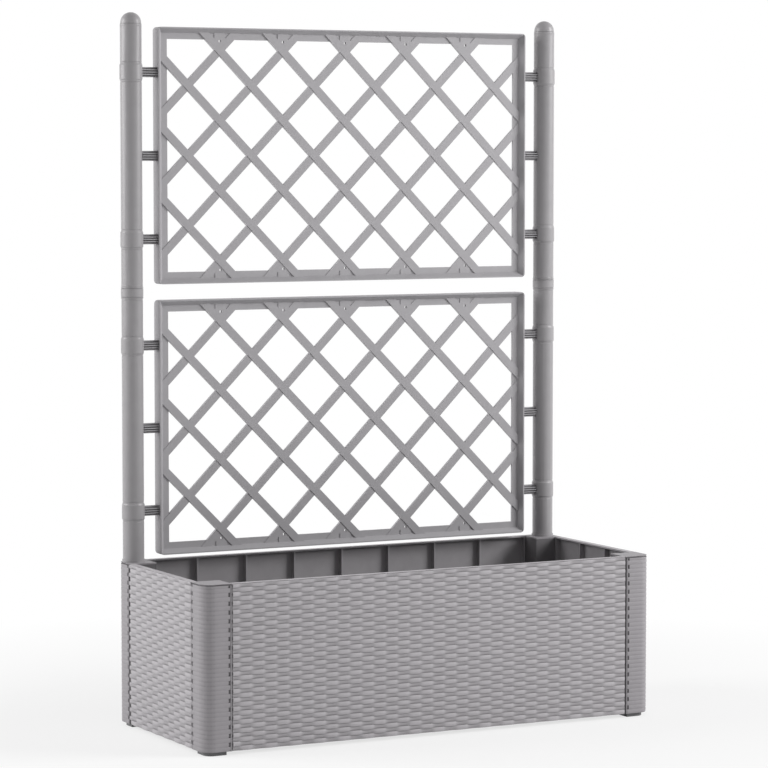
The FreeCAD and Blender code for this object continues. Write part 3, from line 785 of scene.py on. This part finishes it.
# %% [markdown]
# ## Studio
#
# A pale floor, a white surround, a large soft light at the right in front and another at
# the left behind. The second one brightens the left sides of the box, posts and panels.
#
# A bright surround would light the object from all sides and leave it flat. So the white
# comes from Light Path: the rays that show a background see the floor's far part and the
# surround at a strength of 1, and the object is lit by the lamps and a dim surround. Near
# the object the floor keeps a faint shadow.

# %% Lay the floor
FLOOR_SIZE = 40
PAPER_COLOUR = (0.85, 0.85, 0.85, 1)
PAPER_ROUGHNESS = 0.9
SHADOW_REACH = 1.6
SHADOW_VEIL = 0.72


def seen_directly(tree):
    """Socket that is 1 for rays that show the background, and 0 for rays that light."""
    path = tree.nodes.new("ShaderNodeLightPath")
    first = tree.nodes.new("ShaderNodeMath")
    first.operation = "MAXIMUM"
    tree.links.new(path.outputs["Is Camera Ray"], first.inputs[0])
    tree.links.new(path.outputs["Is Glossy Ray"], first.inputs[1])
    second = tree.nodes.new("ShaderNodeMath")
    second.operation = "MAXIMUM"
    tree.links.new(first.outputs["Value"], second.inputs[0])
    tree.links.new(path.outputs["Is Transmission Ray"], second.inputs[1])
    return second.outputs["Value"]


deselect()
bpy.ops.mesh.primitive_plane_add(size=FLOOR_SIZE, location=(0, 0, 0))
floor = bpy.context.object
floor.name = "floor"
paper = bpy.data.materials.new("paper")
paper.use_nodes = True
nodes = paper.node_tree.nodes
links = paper.node_tree.links
matt = nodes["Principled BSDF"]
matt.inputs["Base Color"].default_value = PAPER_COLOUR
matt.inputs["Roughness"].default_value = PAPER_ROUGHNESS
matt.inputs["Specular IOR Level"].default_value = 0.0
white = nodes.new("ShaderNodeEmission")
place = nodes.new("ShaderNodeTexCoord")
away = nodes.new("ShaderNodeVectorMath")
away.operation = "LENGTH"
links.new(place.outputs["Object"], away.inputs[0])
veil = nodes.new("ShaderNodeMapRange")
veil.inputs["From Min"].default_value = SHADOW_REACH / 2
veil.inputs["From Max"].default_value = SHADOW_REACH
veil.inputs["To Min"].default_value = SHADOW_VEIL
links.new(away.outputs["Value"], veil.inputs["Value"])
share = nodes.new("ShaderNodeMath")
share.operation = "MULTIPLY"
links.new(veil.outputs["Result"], share.inputs[0])
links.new(seen_directly(paper.node_tree), share.inputs[1])
blend = nodes.new("ShaderNodeMixShader")
links.new(share.outputs["Value"], blend.inputs["Fac"])
links.new(matt.outputs["BSDF"], blend.inputs[1])
links.new(white.outputs["Emission"], blend.inputs[2])
links.new(blend.outputs["Shader"], nodes["Material Output"].inputs["Surface"])
dress(floor, paper)
print("floor:", floor.name, [round(v, 2) for v in floor.dimensions])

# %% Put up the surround
SURROUND_LIGHT = 0.32

world = bpy.data.worlds.new("surround")
bpy.context.scene.world = world
world.use_nodes = True
nodes = world.node_tree.nodes
links = world.node_tree.links
nodes.clear()
strength = nodes.new("ShaderNodeMapRange")
strength.inputs["To Min"].default_value = SURROUND_LIGHT
strength.inputs["To Max"].default_value = 1.0
links.new(seen_directly(world.node_tree), strength.inputs["Value"])
surround = nodes.new("ShaderNodeBackground")
surround.inputs["Color"].default_value = (1, 1, 1, 1)
links.new(strength.outputs["Result"], surround.inputs["Strength"])
output = nodes.new("ShaderNodeOutputWorld")
links.new(surround.outputs["Background"], output.inputs["Surface"])
print("surround:", world.name)

# %% Set the lamps
LAMP_SIZE = 2.4
LAMP_AIM = (0, 0, 0.7)
KEY_PLACE = (3.8, -2.45, 2.6)
KEY_POWER = 205
RIM_PLACE = (-3.6, 1.6, 2.0)
RIM_POWER = 122


def soft_light(name, place, aim, size, energy):
    """A square area light that looks at a point."""
    deselect()
    bpy.ops.object.light_add(type="AREA", location=place)
    lamp = bpy.context.object
    lamp.name = name
    lamp.data.shape = "SQUARE"
    lamp.data.size = size
    lamp.data.energy = energy
    direction = Vector(aim) - Vector(place)
    lamp.rotation_euler = direction.to_track_quat("-Z", "Y").to_euler()
    return lamp


lamps = [
    soft_light("key_right", KEY_PLACE, LAMP_AIM, LAMP_SIZE, KEY_POWER),
    soft_light("rim_left", RIM_PLACE, LAMP_AIM, LAMP_SIZE, RIM_POWER),
]
print("lamps:", [(lamp.name, lamp.data.energy) for lamp in lamps])

# %% [markdown]
# ## Camera
#
# It could be placed by eye, but it was solved from the photograph: from the levels of the
# posts' rings, the crossings of the lattice and the corners of the box. It stands to the
# left of the front, as high as the upper lattice panel, far away, with a long lens.

# %% Place the camera
TARGET = Vector((-0.00365, 0.00191, 0.6826))
DISTANCE = 6.467
AZIMUTH = math.radians(-27.63)
PITCH = math.radians(4.11)
LENS = 150.5
SENSOR = 36

deselect()
sight = Vector((
    -math.sin(AZIMUTH) * math.cos(PITCH),
    math.cos(AZIMUTH) * math.cos(PITCH),
    -math.sin(PITCH),
))
bpy.ops.object.camera_add(location=TARGET - sight * DISTANCE)
camera = bpy.context.object
camera.name = "photo_camera"
camera.rotation_euler = sight.to_track_quat("-Z", "Y").to_euler()
camera.data.lens = LENS
camera.data.sensor_width = SENSOR
bpy.context.scene.camera = camera
bpy.context.scene.view_settings.view_transform = "Standard"
print("camera:", camera.name, [round(v, 3) for v in camera.location])
